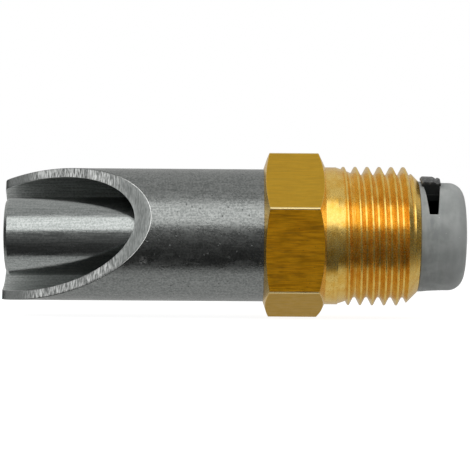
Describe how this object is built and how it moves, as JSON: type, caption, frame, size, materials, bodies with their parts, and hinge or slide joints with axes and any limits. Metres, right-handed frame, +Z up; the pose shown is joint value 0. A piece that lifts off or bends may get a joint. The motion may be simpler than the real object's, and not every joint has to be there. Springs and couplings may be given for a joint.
{
  "type": "bite nipple drinker",
  "caption": "Bite nipple drinker: stainless bite tube and sprung pin valve in a brass hex body with pipe thread, inlet cap with adjustable flow slot.",
  "frame": {"origin": "on the centre line, where the hex meets the neck of the pipe thread", "axes": "+X along the centre line towards the water inlet, -X the mouth end, +Z up, -Y the front with the open scoop"},
  "size_m": [0.0699, 0.0242, 0.0248],
  "materials": {
    "tube_steel": "ground stainless steel with fine lengthwise lines",
    "pin_steel": "turned and polished stainless steel bar",
    "spring_steel": "bright drawn stainless spring steel",
    "brass": "bright machined brass with tool marks",
    "rubber": "matt moulded rubber",
    "white_plastic": "satin moulded plastic",
    "grey_plastic": "satin moulded plastic, slightly cloudy",
    "black_plastic": "satin moulded plastic"
  },
  "bodies": {
    "housing": {"mouth_tube": "tube_steel", "hex_body": "brass", "spring_retainer": "white_plastic"},
    "valve_spring": {"valve_spring": "spring_steel"},
    "valve_seal": {"valve_seal": "rubber"},
    "bite_pin": {"bite_pin": "pin_steel", "valve_plate": "spring_steel", "pin_clip": "spring_steel"},
    "inlet_cap": {"inlet_cap": "grey_plastic", "filter_screen": "tube_steel"},
    "flow_regulator": {"flow_regulator": "black_plastic"}
  },
  "joints": [
    {"name": "pin_push", "type": "slide", "parent": "housing", "child": "valve_spring", "axis": [1, 0, 0], "range_m": [0, 0.0015], "stiffness_N_per_m": 800, "springref_m": -0.005, "deforming": ["valve_spring"]},
    {"name": "pin_tilt_bite", "type": "hinge", "parent": "valve_spring", "child": "valve_seal", "pos_m": [-0.001, 0, 0], "axis": [0, 0.2588, 0.9659], "range_deg": [-2.9, 2.9], "stiffness_Nm_per_rad": 2.3, "deforming": ["valve_seal"]},
    {"name": "pin_tilt_side", "type": "hinge", "parent": "valve_seal", "child": "bite_pin", "pos_m": [-0.001, 0, 0], "axis": [0, -0.9659, 0.2588], "range_deg": [-1.5, 0.5], "stiffness_Nm_per_rad": 2.3},
    {"name": "cap_pull", "type": "slide", "parent": "housing", "child": "inlet_cap", "axis": [1, 0, 0], "range_m": [0, 0.006]},
    {"name": "regulator_turn", "type": "hinge", "parent": "inlet_cap", "child": "flow_regulator", "pos_m": [0.0163, 0, 0], "axis": [-1, 0, 0], "range_deg": [0, 36]}
  ]
}
